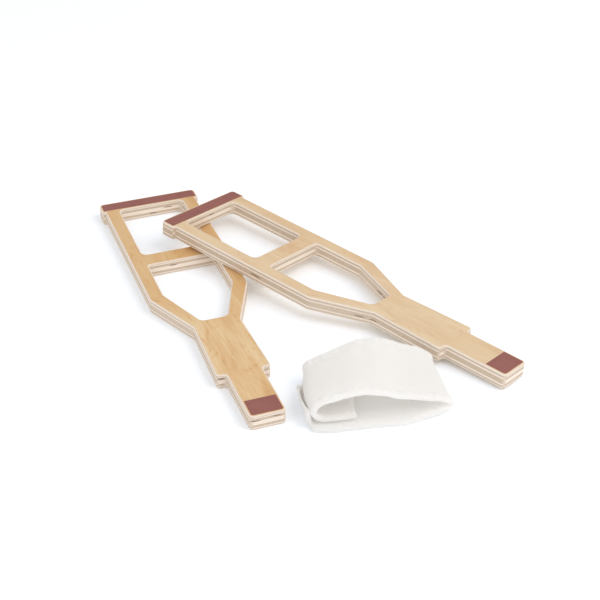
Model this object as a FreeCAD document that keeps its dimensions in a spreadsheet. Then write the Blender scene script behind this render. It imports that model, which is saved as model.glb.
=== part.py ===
import FreeCAD, Part
import math
import os

import Sketcher

# Doll's crutch set: two plywood crutches and a cloth bandage, all lengths in millimetres.
# Frame: origin on the lower crutch's underside, below the middle of its plain panel.
# +X runs across the crutch, +Y from its foot to its armrest, +Z up from the floor.

SIZES = [
    # Crutch outline. Every "from_head" distance starts at the armrest's outer edge.
    ("crutch_length", 240.0),
    ("origin_from_head", 177.0),
    ("rest_depth", 10.6),
    ("rest_half_width", 31.2),
    ("rail_half_width", 29.2),
    ("rail_end_from_head", 118.0),
    ("panel_top_half_width", 13.7),
    ("panel_top_from_head", 153.0),
    ("panel_end_half_width", 15.2),
    ("panel_end_from_head", 200.5),
    ("leg_half_width", 9.9),
    ("window_half_width", 20.6),
    ("grip_top_from_head", 68.5),
    ("grip_end_from_head", 80.5),
    ("lower_window_side_from_head", 115.0),
    ("lower_window_end_from_head", 147.5),
    ("lower_window_end_half_width", 7.6),
    # Corner radii seen from above.
    ("rest_corner_radius", 2.8),
    ("rest_tip_radius", 1.2),
    ("rest_root_radius", 0.6),
    ("rail_corner_radius", 6.0),
    ("panel_corner_radius", 3.0),
    ("step_corner_radius", 2.2),
    ("foot_corner_radius", 2.6),
    ("window_corner_radius", 3.6),
    ("window_small_radius", 2.0),
    # Plywood build-up: a thick core with three thinner layers on each side.
    ("veneer_thickness", 1.1),
    ("cross_ply_thickness", 0.8),
    ("long_ply_thickness", 1.3),
    ("core_thickness", 2.6),
    ("edge_rounding", 1.0),
    # Printed paint, let flush into the face veneer.
    ("paint_thickness", 0.1),
    ("paint_inset", 1.2),
    ("foot_paint_from_head", 226.0),
    ("rest_paint_radius", 1.6),
    ("foot_paint_radius", 1.4),
    ("paint_square_radius", 0.3),
    # How the upper crutch lies across the lower one.
    ("crossing_angle", 28.0),
    ("upper_head_across", 22.6),
    ("upper_head_along", 139.1),
    # Bandage.
    ("band_width", 42.0),
    ("band_thickness", 1.6),
    ("loop_width", 73.0),
    ("loop_height", 20.6),
    ("tab_width", 30.0),
    ("tab_thickness", 1.2),
    ("tab_start_fraction", 0.138),
    ("tab_end_fraction", 0.18),
    ("patch_margin_fraction", 0.006),
    ("patch_width", 24.0),
    ("patch_thickness", 0.5),
    ("cloth_gap", 0.1),
    ("bandage_across", 18.5),
    ("bandage_along", -72.5),
    ("bandage_turn", -9.5),
]

# Sub-parts stacked from the floor up: name ending, thickness cell, face that is rounded off.
PLIES = [
    ("back_veneer", "veneer_thickness", "bottom"),
    ("back_cross_ply", "cross_ply_thickness", None),
    ("back_long_ply", "long_ply_thickness", None),
    ("core_cross_ply", "core_thickness", None),
    ("front_long_ply", "long_ply_thickness", None),
    ("front_cross_ply", "cross_ply_thickness", None),
    ("front_veneer", "veneer_thickness", "top"),
]

# Outline corners down the right-hand side: half width cell, distance cell, radius cell.
OUTLINE = [
    ("rest_half_width", None, "rest_corner_radius"),
    ("rest_half_width", "rest_depth", "rest_tip_radius"),
    ("rail_half_width", "rest_depth", "rest_root_radius"),
    ("rail_half_width", "rail_end_from_head", "rail_corner_radius"),
    ("panel_top_half_width", "panel_top_from_head", "panel_corner_radius"),
    ("panel_end_half_width", "panel_end_from_head", "step_corner_radius"),
    ("leg_half_width", "panel_end_from_head", "step_corner_radius"),
    ("leg_half_width", "crutch_length", "foot_corner_radius"),
]
UPPER_WINDOW = [
    ("window_half_width", "rest_depth", "window_corner_radius"),
    ("window_half_width", "grip_top_from_head", "window_corner_radius"),
]
LOWER_WINDOW = [
    ("window_half_width", "grip_end_from_head", "window_small_radius"),
    ("window_half_width", "lower_window_side_from_head", "window_small_radius"),
    ("lower_window_end_half_width", "lower_window_end_from_head", "window_corner_radius"),
]
# Painted areas of the face, kept on the flat inside the rounded edge.
ARMREST_PAINT = [
    ("rest_half_width - paint_inset", "paint_inset", "rest_paint_radius"),
    ("rest_half_width - paint_inset", "rest_depth - paint_inset", "paint_square_radius"),
]
FOOT_PAINT = [
    ("leg_half_width - paint_inset", "foot_paint_from_head", "paint_square_radius"),
    ("leg_half_width - paint_inset", "crutch_length - paint_inset", "foot_paint_radius"),
]
PAINTS = [("armrest_paint", ARMREST_PAINT), ("foot_paint", FOOT_PAINT)]
POSITION_TOLERANCE = 0.01
STATIONS = 60


def make_sheet(doc):
    """Write every driving size into a spreadsheet and give each cell its alias."""
    sheet = doc.addObject("Spreadsheet::Sheet", "Sizes")
    for row, (alias, value) in enumerate(SIZES, start=1):
        sheet.set("A%d" % row, alias.replace("_", " "))
        sheet.set("B%d" % row, str(value))
        sheet.setAlias("B%d" % row, alias)
    doc.recompute()
    return sheet


def size(doc, alias):
    """The value held by one cell of the sheet."""
    return float(getattr(doc.Sizes, alias))


def origin_plane(body, role):
    """One of the body's own datum planes, found by its role."""
    for feature in body.Origin.OriginFeatures:
        if feature.Role == role:
            return feature
    raise ValueError("no plane " + role)


def flat_sketch(body, name, height_cell=None):
    """An empty sketch on the body's XY plane, raised by a cell's height where one is given."""
    sketch = body.newObject("Sketcher::SketchObject", name)
    sketch.AttachmentSupport = [(origin_plane(body, "XY_Plane"), "")]
    sketch.MapMode = "FlatFace"
    if height_cell:
        sketch.setExpression("AttachmentOffset.Base.z", "Sizes." + height_cell)
    return sketch


def mirrored_corners(doc, half_side):
    """Corner positions and cells, down the right-hand side and back up the left."""
    corners = []
    for x_cell, y_cell, radius_cell in half_side:
        y = -cell_value(doc, y_cell)
        corners.append((cell_value(doc, x_cell), y, x_cell, y_cell, radius_cell))
    left = [(-x, y, x_cell, y_cell, radius) for x, y, x_cell, y_cell, radius in reversed(corners)]
    return corners + left


def cell_value(doc, expression):
    """A cell's value, one cell minus another, or zero when no cell is named."""
    if expression is None:
        return 0.0
    first, _sign, second = expression.partition(" - ")
    taken_away = size(doc, second) if second else 0.0
    return size(doc, first) - taken_away


def bound(expression):
    """The same expression written so that the sheet can evaluate it."""
    return " - ".join("Sizes." + cell for cell in expression.split(" - "))


def draw_loop(doc, sketch, half_side):
    """Draw one closed loop that is symmetric about the Y axis and bind its corners to the sheet."""
    corners = mirrored_corners(doc, half_side)
    count = len(corners)
    first = len(sketch.Geometry)
    for index in range(count):
        start = FreeCAD.Vector(corners[index][0], corners[index][1], 0)
        end = FreeCAD.Vector(corners[(index + 1) % count][0], corners[(index + 1) % count][1], 0)
        sketch.addGeometry(Part.LineSegment(start, end), False)
    for index in range(count):
        following = first + (index + 1) % count
        sketch.addConstraint(Sketcher.Constraint("Coincident", first + index, 2, following, 1))
    for index in range(count // 2):
        x, y, x_cell, y_cell, _radius_cell = corners[index]
        line = first + index
        row = sketch.addConstraint(Sketcher.Constraint("DistanceX", -1, 1, line, 1, x))
        sketch.setExpression("Constraints[%d]" % row, bound(x_cell))
        if y_cell is None:
            sketch.addConstraint(Sketcher.Constraint("PointOnObject", line, 1, -1))
        else:
            row = sketch.addConstraint(Sketcher.Constraint("DistanceY", line, 1, -1, 1, -y))
            sketch.setExpression("Constraints[%d]" % row, bound(y_cell))
        mirror = first + count - 1 - index
        sketch.addConstraint(Sketcher.Constraint("Symmetric", line, 1, mirror, 1, -2))
    round_loop(doc, sketch, first, corners)


def round_loop(doc, sketch, first, corners):
    """Turn every corner of a loop into an arc, keeping the corner as a construction point."""
    for index, (_x, _y, _x_cell, _y_cell, radius_cell) in enumerate(corners):
        radius = size(doc, radius_cell)
        sketch.fillet(first + index, 1, radius, True, True)
        arc = len(sketch.Geometry) - 2
        row = sketch.addConstraint(Sketcher.Constraint("Radius", arc, radius))
        sketch.setExpression("Constraints[%d]" % row, bound(radius_cell))


def add_pad(doc, body, sketch, length_cell):
    """Pad a sketch upwards by the thickness held in a cell."""
    pad = body.newObject("PartDesign::Pad", body.Name + "_pad")
    pad.Profile = sketch
    pad.setExpression("Length", "Sizes." + length_cell)
    sketch.Visibility = False
    doc.recompute()
    return pad


def round_flat_face(doc, body, base, height):
    """Round off every edge around the flat face at one height."""
    names = []
    for number, edge in enumerate(base.Shape.Edges, start=1):
        box = edge.BoundBox
        if abs(box.ZMin - height) < POSITION_TOLERANCE and abs(box.ZMax - height) < POSITION_TOLERANCE:
            names.append("Edge%d" % number)
    fillet = body.newObject("PartDesign::Fillet", body.Name + "_edge_rounding")
    fillet.Base = (base, names)
    fillet.setExpression("Radius", "Sizes.edge_rounding")
    doc.recompute()
    return fillet


def cut_paint_recess(doc, body, base, name, half_side):
    """Sink a shallow recess for one painted area into the top of the face veneer."""
    sketch = flat_sketch(body, body.Name + "_" + name + "_outline", "veneer_thickness")
    draw_loop(doc, sketch, half_side)
    pocket = body.newObject("PartDesign::Pocket", body.Name + "_" + name + "_recess")
    pocket.Profile = sketch
    pocket.setExpression("Length", "Sizes.paint_thickness")
    sketch.Visibility = False
    doc.recompute()
    if pocket.Shape.Volume >= base.Shape.Volume:
        raise ValueError("the recess for " + name + " removed nothing")
    return pocket


def new_body(doc, name, placement):
    """A body whose label is its file name."""
    body = doc.addObject("PartDesign::Body", name)
    body.Label = name
    body.Placement = placement
    return body


def make_ply(doc, name, thickness_cell, rounded_face, placement):
    """One layer of the board, with both windows cut out."""
    body = new_body(doc, name, placement)
    sketch = flat_sketch(body, name + "_outline")
    for half_side in (OUTLINE, UPPER_WINDOW, LOWER_WINDOW):
        draw_loop(doc, sketch, half_side)
    feature = add_pad(doc, body, sketch, thickness_cell)
    if rounded_face == "bottom":
        round_flat_face(doc, body, feature, 0.0)
    if rounded_face == "top":
        feature = round_flat_face(doc, body, feature, size(doc, thickness_cell))
        for paint_name, loop in PAINTS:
            feature = cut_paint_recess(doc, body, feature, paint_name, loop)
    return body


def make_paint(doc, name, half_side, placement):
    """One painted area as a thin film that fills its recess."""
    body = new_body(doc, name, placement)
    sketch = flat_sketch(body, name + "_outline")
    draw_loop(doc, sketch, half_side)
    add_pad(doc, body, sketch, "paint_thickness")
    return body


def lifted(placement, along, height):
    """A placement moved within the crutch's own frame."""
    return placement.multiply(FreeCAD.Placement(FreeCAD.Vector(0, along, height), FreeCAD.Rotation()))


def board_thickness(doc):
    """Thickness of the whole board."""
    return sum(size(doc, thickness_cell) for _name, thickness_cell, _face in PLIES)


def make_crutch(doc, prefix, placement):
    """All layers and painted areas of one crutch."""
    along = size(doc, "origin_from_head")
    height = 0.0
    nodes = []
    for ending, thickness_cell, rounded_face in PLIES:
        spot = lifted(placement, along, height)
        nodes.append(make_ply(doc, prefix + ending, thickness_cell, rounded_face, spot))
        height += size(doc, thickness_cell)
    for paint_name, loop in PAINTS:
        spot = lifted(placement, along, height - size(doc, "paint_thickness"))
        nodes.append(make_paint(doc, prefix + paint_name, loop, spot))
    return nodes


def upper_crutch_placement(doc):
    """Lay the upper crutch on the lower crutch's right-hand rail, with its foot on the floor."""
    turn = FreeCAD.Rotation(FreeCAD.Vector(0, 0, 1), size(doc, "crossing_angle"))
    head = FreeCAD.Vector(size(doc, "upper_head_across"), size(doc, "upper_head_along"), 0)
    middle = head + turn.multVec(FreeCAD.Vector(0, -size(doc, "origin_from_head"), 0))
    corner = FreeCAD.Vector(
        size(doc, "leg_half_width") - size(doc, "foot_corner_radius"),
        size(doc, "origin_from_head") - size(doc, "crutch_length") + size(doc, "foot_corner_radius"),
        0,
    )
    foot_reach = middle.x + turn.multVec(corner).x + size(doc, "foot_corner_radius")
    thickness = board_thickness(doc)
    edge = FreeCAD.Vector(size(doc, "rail_half_width"), 0, thickness)
    slope = math.degrees(math.atan2(thickness, foot_reach - edge.x))
    tilt = FreeCAD.Rotation(FreeCAD.Vector(0, 1, 0), slope)
    flat_on_edge = FreeCAD.Vector(middle.x, middle.y, thickness)
    base = edge + tilt.multVec(flat_on_edge - edge)
    return FreeCAD.Placement(base, tilt.multiply(turn))


def smooth_line(points):
    """A smooth curve through points given as pairs of width and height."""
    curve = Part.BSplineCurve()
    curve.interpolate([FreeCAD.Vector(u, 0, z) for u, z in points])
    return curve


def side_line(curve, offset, start, end, depth):
    """A smooth curve beside another one, between two fractions of its length."""
    low, high = curve.FirstParameter, curve.LastParameter
    points = []
    for station in range(STATIONS + 1):
        fraction = start + (end - start) * station / STATIONS
        parameter = low + (high - low) * fraction
        tangent = curve.tangent(parameter)[0]
        sideways = FreeCAD.Vector(-tangent.z, 0, tangent.x) * offset
        points.append(curve.value(parameter) + sideways + FreeCAD.Vector(0, depth, 0))
    line = Part.BSplineCurve()
    line.interpolate(points)
    return line


def strip_solid(curve, inner, outer, start, end, depth, width):
    """A strip of cloth between two offsets of a curve, starting at one depth, as wide as asked."""
    near = side_line(curve, inner, start, end, depth).toShape()
    far = side_line(curve, outer, start, end, depth).toShape()
    first_cap = Part.makeLine(near.Vertexes[0].Point, far.Vertexes[0].Point)
    last_cap = Part.makeLine(near.Vertexes[-1].Point, far.Vertexes[-1].Point)
    wire = Part.Wire(Part.__sortEdges__([near, last_cap, far, first_cap]))
    return Part.Face(wire).extrude(FreeCAD.Vector(0, width, 0))


def band_path(doc):
    """Middle line of the band, from its inner end round to the seam of the closing tab."""
    thickness = size(doc, "band_thickness")
    width = size(doc, "loop_width")
    height = size(doc, "loop_height")
    floor_layer = thickness / 2 + size(doc, "cloth_gap")
    second_layer = floor_layer + thickness + size(doc, "cloth_gap")
    points = [
        (width * 0.40, second_layer + 0.1),
        (width * 0.30, second_layer),
        (width * 0.20, second_layer),
        (width * 0.12, second_layer + 0.4),
        (width * 0.065, height * 0.28),
        (width * 0.05, height * 0.50),
        (width * 0.085, height * 0.72),
        (width * 0.20, height * 0.90),
        (width * 0.42, height - thickness / 2),
        (width * 0.62, height * 0.86),
        (width * 0.80, height * 0.66),
        (width * 0.93, height * 0.48),
        (width - thickness / 2, height * 0.30),
        (width * 0.95, height * 0.15),
        (width * 0.86, height * 0.07),
        (width * 0.70, floor_layer + 0.1),
        (width * 0.45, floor_layer),
        (width * 0.25, floor_layer),
        (width * 0.15, floor_layer),
        (width * 0.105, floor_layer + 0.15),
        (width * 0.080, floor_layer + 0.65),
        (width * 0.058, floor_layer + 1.7),
    ]
    return smooth_line(points)


def bandage_placement(doc):
    """Where the bandage stands beside the crutches: its left-hand front corner, and its turn."""
    corner = FreeCAD.Vector(size(doc, "bandage_across"), size(doc, "bandage_along"), 0)
    turn = FreeCAD.Rotation(FreeCAD.Vector(0, 0, 1), size(doc, "bandage_turn"))
    return FreeCAD.Placement(corner, turn)


def make_bandage(doc, placement):
    """The band, its closing tab, and the two fastener patches between them."""
    path = band_path(doc)
    gap = size(doc, "cloth_gap")
    patch = size(doc, "patch_thickness")
    half = size(doc, "band_thickness") / 2
    start = size(doc, "tab_start_fraction")
    end = size(doc, "tab_end_fraction")
    margin = size(doc, "patch_margin_fraction")
    loop_inner = half + gap
    hook_inner = loop_inner + patch + gap
    tab_inner = hook_inner + patch + gap
    tab_outer = tab_inner + size(doc, "tab_thickness")
    layers = [
        ("bandage_band", -half, half, 0.0, 1.0, "band_width"),
        ("loop_patch", loop_inner, loop_inner + patch, start + margin, end - margin, "patch_width"),
        ("hook_patch", hook_inner, hook_inner + patch, start + margin, end - margin, "patch_width"),
        ("bandage_tab", tab_inner, tab_outer, start, end, "tab_width"),
    ]
    nodes = []
    for name, inner, outer, first, last, width_cell in layers:
        width = size(doc, width_cell)
        depth = (size(doc, "band_width") - width) / 2
        solid = strip_solid(path, inner, outer, first, last, depth, width)
        nodes.append(add_solid(doc, name, solid, placement))
    return nodes


def add_solid(doc, name, solid, placement):
    """A plain solid with its own label and placement."""
    feature = doc.addObject("Part::Feature", name)
    feature.Label = name
    feature.Shape = solid
    feature.Placement = placement
    return feature


def check_objects(doc, nodes):
    """Stop if any feature failed or any sub-part has a null or broken shape."""
    for thing in doc.Objects:
        if "Invalid" in thing.State or "Error" in thing.State:
            raise ValueError("feature failed: " + thing.Name)
    for node in nodes:
        if node.Shape.isNull() or not node.Shape.isValid():
            raise ValueError("bad shape: " + node.Label)


def export_nodes(nodes):
    """Write one STEP file for every sub-part."""
    os.makedirs("parts", exist_ok=True)
    for node in nodes:
        node.Shape.exportStep("parts/%s.step" % node.Label)


def main():
    doc = FreeCAD.newDocument("CrutchSet")
    make_sheet(doc)
    nodes = make_crutch(doc, "lower_", FreeCAD.Placement())
    nodes += make_crutch(doc, "upper_", upper_crutch_placement(doc))
    nodes += make_bandage(doc, bandage_placement(doc))
    doc.recompute()
    check_objects(doc, nodes)
    export_nodes(nodes)


main()
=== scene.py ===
import math

import bmesh
import bpy
import numpy as np
from mathutils import Matrix, Vector, noise


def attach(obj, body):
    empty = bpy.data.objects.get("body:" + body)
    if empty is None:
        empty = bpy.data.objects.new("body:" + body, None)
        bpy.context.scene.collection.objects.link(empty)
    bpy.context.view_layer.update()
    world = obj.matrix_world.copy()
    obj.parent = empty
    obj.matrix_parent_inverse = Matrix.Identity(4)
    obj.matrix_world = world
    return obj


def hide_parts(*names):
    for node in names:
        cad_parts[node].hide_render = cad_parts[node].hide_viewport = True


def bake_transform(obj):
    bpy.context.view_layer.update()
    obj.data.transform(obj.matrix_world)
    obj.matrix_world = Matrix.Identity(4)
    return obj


# A doll's crutch set: two plywood crutches and a cloth bandage, on a pale studio floor.
# Lengths are in metres. MM turns millimetres into metres.

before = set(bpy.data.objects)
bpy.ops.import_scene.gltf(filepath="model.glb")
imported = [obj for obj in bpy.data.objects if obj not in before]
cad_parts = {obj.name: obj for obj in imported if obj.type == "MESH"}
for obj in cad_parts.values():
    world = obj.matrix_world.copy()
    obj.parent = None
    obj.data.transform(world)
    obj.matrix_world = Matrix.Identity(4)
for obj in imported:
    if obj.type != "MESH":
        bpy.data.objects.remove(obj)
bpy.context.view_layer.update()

MM = 0.001
PER_METRE = 1000.0

# Camera: what it looks at, and from where. Angles are in degrees, distances in metres and the
# lens in millimetres.
CAMERA_TARGET = Vector((0.0558, 0.0427, 0.0))
CAMERA_AZIMUTH = -20.14
CAMERA_ELEVATION = 33.35
CAMERA_DISTANCE = 0.8149
CAMERA_LENS = 84.0
CAMERA_REACH = 20.0

# Colours, as they look on screen (sRGB, 0 to 255).
FACE_HONEY = (222, 184, 134)
FACE_PALE = (233, 206, 162)
FACE_AMBER = (208, 162, 104)
FACE_WASH = (222, 204, 178)
FACE_DEEP = (204, 148, 84)
FACE_LIGHT = (240, 216, 176)
EDGE_CREAM = (247, 233, 217)
EDGE_TAN = (212, 191, 165)
END_GRAIN_DARK = (176, 150, 124)
GLUE_LINE = (182, 162, 150)
# Painted shade inside a gap in an inner ply.
VOID_SHADE = (120, 86, 70)
ROSE = (152, 100, 92)
ROSE_DEEP = (138, 88, 82)
COTTON = (254, 253, 252)
# Painted shade in the hollows of the weave and in the twist of the thread.
COTTON_PAINTED_SHADE = (246, 244, 240)
# Light that passes through the cloth, which is also the colour of the cloth's painted glow.
THROUGH_LIGHT_AND_GLOW = (255, 253, 250)
THREAD = (238, 236, 232)
LOOP_TAPE = (233, 231, 227)
HOOK_TAPE = (222, 220, 216)

# The floor is brighter than white, so that only its deeper shadows show, as on a studio sweep.
# These are linear colours.
FLOOR_BRIGHT = (0.99, 1.03, 1.08, 1.0)
FLOOR_DULL = (0.96, 1.00, 1.05, 1.0)
FLOOR_GLOW = (0.94, 0.97, 1.0, 1.0)
FLOOR_GLOW_STRENGTH = 0.075
FLOOR_SIZE = 12.0

# The floor's clouding: waves per metre, the noise values between which it fades in and its share at
# both.
FLOOR_CLOUD_WAVES = 6.0
FLOOR_CLOUD_RANGE = (0.3, 0.7, 0.0, 0.15)

# Studio light: a pale sky, and area lights as name, azimuth, elevation, distance, size, power and
# linear colour.
SKY_COLOUR = (0.98, 0.985, 1.0, 1.0)
SKY_STRENGTH = 0.75
LIGHTS = (
    ("key", 50.0, 52.0, 1.6, 1.2, 9.0, (1.0, 0.985, 0.965)),
    ("fill", -60.0, 36.0, 2.0, 1.6, 4.0, (1.0, 0.99, 0.97)),
)

# How each crutch's faces differ: how much paler they are, how much deeper amber the rails are than
# the foot, and how strongly amber patches and light streaks show.
CRUTCH_LOOKS = (
    ("lower_", 0.08, 0.5, 0.6),
    ("upper_", 0.46, 0.12, 0.6),
)

LONG_GRAIN_NODES = ("back_veneer", "back_long_ply", "front_long_ply", "front_veneer")
CROSS_GRAIN_NODES = ("back_cross_ply", "core_cross_ply", "front_cross_ply")
PAINT_NODES = ("armrest_paint", "foot_paint")

# Wood patterns: waves per millimetre across the grain, along it and up through the board, then the
# noise's detail, roughness and distortion.
WOOD_PATTERNS = {
    "figure": ((0.085, 0.011, 0.05), 3.0, 0.55, 0.4),
    "fibre": ((1.9, 0.045, 1.9), 3.0, 0.6, 0.0),
    "pores": ((3.4, 0.30, 3.4), 1.0, 0.4, 0.0),
    "mottle": ((0.10, 0.055, 0.10), 3.0, 0.65, 0.8),
    "streaks": ((0.75, 0.016, 0.75), 2.0, 0.5, 0.0),
}

# The figure wanders sideways with a slow noise, and the streaks lean a little across the grain.
WANDER_WAVES = (0.05, 0.02)
WANDER_LAYER = 3.1
WANDER_REACH = 1.6
STREAK_LEAN = 0.05

# What is laid over the pale face, in order: pattern, the noise values between which it fades in,
# its share at full strength, whether the crutch's own figure depth scales it, and its colour.
FACE_LAYERS = (
    ("figure", 0.34, 0.66, 1.0, False, FACE_HONEY),
    ("figure", 0.52, 0.74, 0.85, False, FACE_AMBER),
    ("fibre", 0.30, 0.72, 0.38, False, FACE_AMBER),
    ("mottle", 0.52, 0.68, 1.0, True, FACE_DEEP),
    ("streaks", 0.60, 0.72, 1.0, True, FACE_LIGHT),
    ("pores", 0.66, 0.80, 0.28, False, END_GRAIN_DARK),
)

# The rails' deeper amber grows between these two places, measured from the armrest's middle and
# below zero towards the foot.
AMBER_FROM = -170.0
AMBER_FULL = -90.0

# Cut edge: waves per millimetre of its drawn-out and speckled patterns, the noise values between
# which each fades in and its share at both, the share of end grain on a face veneer and on an inner
# ply, how far in millimetres from the glue its line fades out and is full, and how strongly the glue
# line and the painted shade inside a gap show.
DRAWN_WAVES = (0.10, 1.0, 5.0)
SPECKLE_WAVES = (2.6, 1.0, 1.4)
DRAWN_RANGE = (0.35, 0.70, 0.0, 0.35)
SPECKLE_RANGE = (0.38, 0.68, 0.0, 0.85)
VENEER_END_GRAIN = 0.40
PLY_END_GRAIN = 0.9
GLUE_FADES_AT = 0.22
GLUE_FULL_AT = 0.04
GLUE_STRENGTH = 0.55
VOID_SHADE_STRENGTH = 0.8

# How squarely a surface has to look up before it counts as the face and not as the cut edge.
FACE_SQUARENESS = (0.90, 0.995)

# Relief of the wood: raised fibres, sunken pores and the hollows of the gaps in its plies.
FIBRE_HEIGHT = 0.5
PORE_RANGE = (0.66, 0.80)
PORE_DEPTH = 0.6
VOID_DEPTH = 4.0

# Relief of each material: its full height and how strongly it shows.
WOOD_RELIEF = (0.06 * MM, 0.6)
PAINT_RELIEF = (0.04 * MM, 0.5)
CLOTH_RELIEF = (0.5 * MM, 0.8)
THREAD_RELIEF = (0.04 * MM, 0.6)

# Roughness of each material, and what the wood's fibres add to it.
WOOD_ROUGHNESS = 0.52
FIBRE_ROUGHNESS = 0.12
PAINT_ROUGHNESS = 0.75
CLOTH_ROUGHNESS = 0.92
THREAD_ROUGHNESS = 0.6
FLOOR_ROUGHNESS = 0.8

# Gaps in an inner ply that show on the cut edge: crutch, centre and half lengths in millimetres.
# A centre is across from the armrest's middle, up from it (so below zero towards the foot), and
# above the crutch's back face.
VOIDS = (
    ("upper_", (-29.2, -71.8, 4.4), (2.0, 4.0, 0.42)),
    ("upper_", (-17.0, -140.3, 4.1), (2.5, 3.6, 0.36)),
    ("upper_", (-14.4, -148.0, 3.7), (2.5, 2.8, 0.32)),
    ("upper_", (11.6, -132.1, 4.2), (2.5, 3.4, 0.50)),
    ("upper_", (9.0, -138.2, 3.9), (2.5, 3.0, 0.50)),
    ("upper_", (1.5, -5.3, 6.3), (2.4, 2.0, 0.35)),
    ("lower_", (1.1, -5.3, 2.6), (2.6, 2.0, 0.35)),
    ("lower_", (11.2, -5.3, 5.2), (3.2, 2.0, 0.35)),
    ("lower_", (-5.0, -75.2, 5.7), (2.6, 2.0, 0.40)),
    ("lower_", (-13.1, -195.2, 6.4), (2.6, 2.0, 0.42)),
    ("lower_", (-7.3, -234.7, 5.8), (3.6, 2.0, 0.36)),
    ("lower_", (4.5, -234.7, 6.6), (2.6, 2.0, 0.28)),
)

# A gap fades in between these multiples of its half lengths.
VOID_EDGE = 1.15
VOID_FULL = 0.75

# Woven cloth: thread spacing in millimetres, then waves per millimetre of its slubs, crumples and
# fuzz, and the height of each as a share of the relief.
WEAVE_PITCH = 0.9
SLUB_WAVES = ((0.12, 1.4, 1.0), (1.4, 0.12, 1.0))
CRUMPLE_WAVES = (0.26, 0.34, 1.0)
FUZZ_WAVES = (4.0, 4.0, 1.0)
SLUB_HEIGHT = 0.10
CRUMPLE_HEIGHT = 0.75
FUZZ_HEIGHT = 0.05

# Painted shade in the weave, where the cloth lies lower: the heights between which a thread rises out
# of it and the shade's strength between threads, then the noise values between which the painted
# shade in the slubs' hollows fades in and its share at both.
THREAD_RISE = (0.15, 0.75)
THREAD_SHADE = 0.30
SLUB_SHADE = (1.1, 0.7, 0.0, 0.35)

# How deep each fabric's weave is, as a share of the relief.
COTTON_WEAVE = 0.22
LOOP_TAPE_WEAVE = 0.5
HOOK_TAPE_WEAVE = 0.3

# Half of the light that reaches thin cloth comes out on the far side. The cotton also gives off a
# faint painted glow of its own that lightens its shaded inside, though it is no lamp.
LIGHT_THROUGH = 0.5
CLOTH_GLOW = 0.05

# Paint: waves per millimetre of the fibres that show through it and of its clouding, then the noise
# values between which each deepens the paint and its share at both.
PAINT_FIBRE_WAVES = (1.9, 0.10, 1.0)
PAINT_CLOUD_WAVES = 0.16
PAINT_FIBRE_RANGE = (0.62, 0.80, 0.0, 0.25)
PAINT_CLOUD_RANGE = (0.3, 0.7, 0.0, 0.45)

# Bandage, in millimetres. It has its own frame: U to the right along its front opening, D into
# its depth, Z up. Its corner and turn place that frame on the floor. The tab's cloth bends over its
# first rows.
BANDAGE_CORNER = Vector((18.5, -72.5, 0.0))
BANDAGE_TURN = -9.5
BAND_WIDTH = 42.0
TAB_START = 1.5
TAB_WIDTH = 30.0
TAB_ROWS = 60
TAB_SLOPE = 2.2

# Half of the cloth's thickness, and what its hem adds, where the hem's seam lies, how far past the
# seam and how abruptly the hem ends and how the seam pinches it. Then how the edges and ends are
# rounded.
BAND_HALF = 0.84
TAB_HALF = 0.62
HEM_EXTRA = 0.62
HEM_DEPTH = 3.4
HEM_TAIL = 1.0
HEM_SHARPNESS = 4
SEAM_PINCH = 0.20
SEAM_PINCH_WIDTH = 0.5
EDGE_ROUNDING = 1.1
BAND_END_ROUNDING = 1.6
TAB_END_ROUNDING = 0.9
TAPE_END_ROUNDING = 0.4
THINNEST_END = 0.06
FLOOR_GAP = 0.06

# The loop's left side swells in the middle, the closing tab holds the cloth under it still, and
# cloth that lies on the floor moves least. Here and below, a pair holds the place or height where
# something starts and where it is full.
FOLD_BULGE = 2.8
BULGE_HEIGHTS = (3.0, 9.0)
FOLD_PLACES = (14.0, 4.0)
UNDER_TAB_PLACES = (12.0, 7.0)
UNDER_TAB_HEIGHTS = (16.0, 12.0)
FREE_HEIGHTS = (4.0, 8.0)
LEAST_FREE = 0.12
TAB_HOLD = 0.9

# The layer on the floor creeps out in front of the loop: most in its middle, and more at its left.
CREEP_HEIGHTS = (5.0, 1.6)
CREEP_MIDDLE = 3.6
CREEP_MIDDLE_PLACES = (5.0, 80.0)
CREEP_LEFT = 1.6
CREEP_LEFT_PLACES = (0.0, 18.0)
CREEP_CORNER = 2.4
CREEP_CORNER_PLACES = (70.0, 50.0)
CREEP_END_PLACES = (-0.5, 3.5)

# Fastener tape: its place across the band, and which part of the loop and of the tab it covers.
PATCH_START = 9.0
PATCH_WIDTH = 18.0
PATCH_COLUMNS = 25
LOOP_TAPE_RISE = 1.15
LOOP_TAPE_REACH = 12.0
LOOP_TAPE_BOTTOM = 5.4
LOOP_TAPE_TOP = 10.6
HOOK_TAPE_DROP = 0.85
HOOK_TAPE_ROWS = slice(28, 54, 2)

# Middle line of the band at its front and at its back edge, as (U, Z): from the inner end on the
# floor layer, round the left fold, over the top, round the right tip and back along the floor.
FRONT_EDGE = (
    (25.0, 5.0), (19.5, 4.9), (13.5, 4.9), (8.2, 5.2), (4.6, 6.6), (2.7, 9.2), (3.3, 12.4),
    (6.4, 15.3), (10.6, 17.3), (15.8, 18.5), (22.0, 19.3), (28.8, 19.0), (38.7, 17.2),
    (48.5, 13.9), (58.4, 11.5), (66.5, 9.9), (72.8, 8.0), (75.4, 5.4), (72.4, 3.4), (64.0, 2.2),
    (53.0, 1.7), (40.0, 1.6), (28.0, 1.6), (16.0, 1.6), (9.0, 1.6), (3.8, 1.6), (1.0, 1.8),
)
BACK_EDGE = (
    (30.5, 5.0), (23.5, 4.9), (16.0, 4.9), (10.2, 5.2), (6.8, 6.6), (5.7, 9.0), (6.7, 11.6),
    (9.6, 13.9), (14.0, 16.4), (19.9, 18.8), (27.0, 21.2), (34.0, 23.0), (41.5, 23.4),
    (49.0, 21.4), (57.0, 18.0), (65.0, 14.6), (72.2, 10.9), (74.8, 7.4), (71.6, 4.2), (63.0, 2.4),
    (53.0, 1.7), (40.0, 1.6), (28.0, 1.6), (17.0, 1.6), (11.0, 1.6), (7.0, 1.6), (4.6, 1.8),
)

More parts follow.
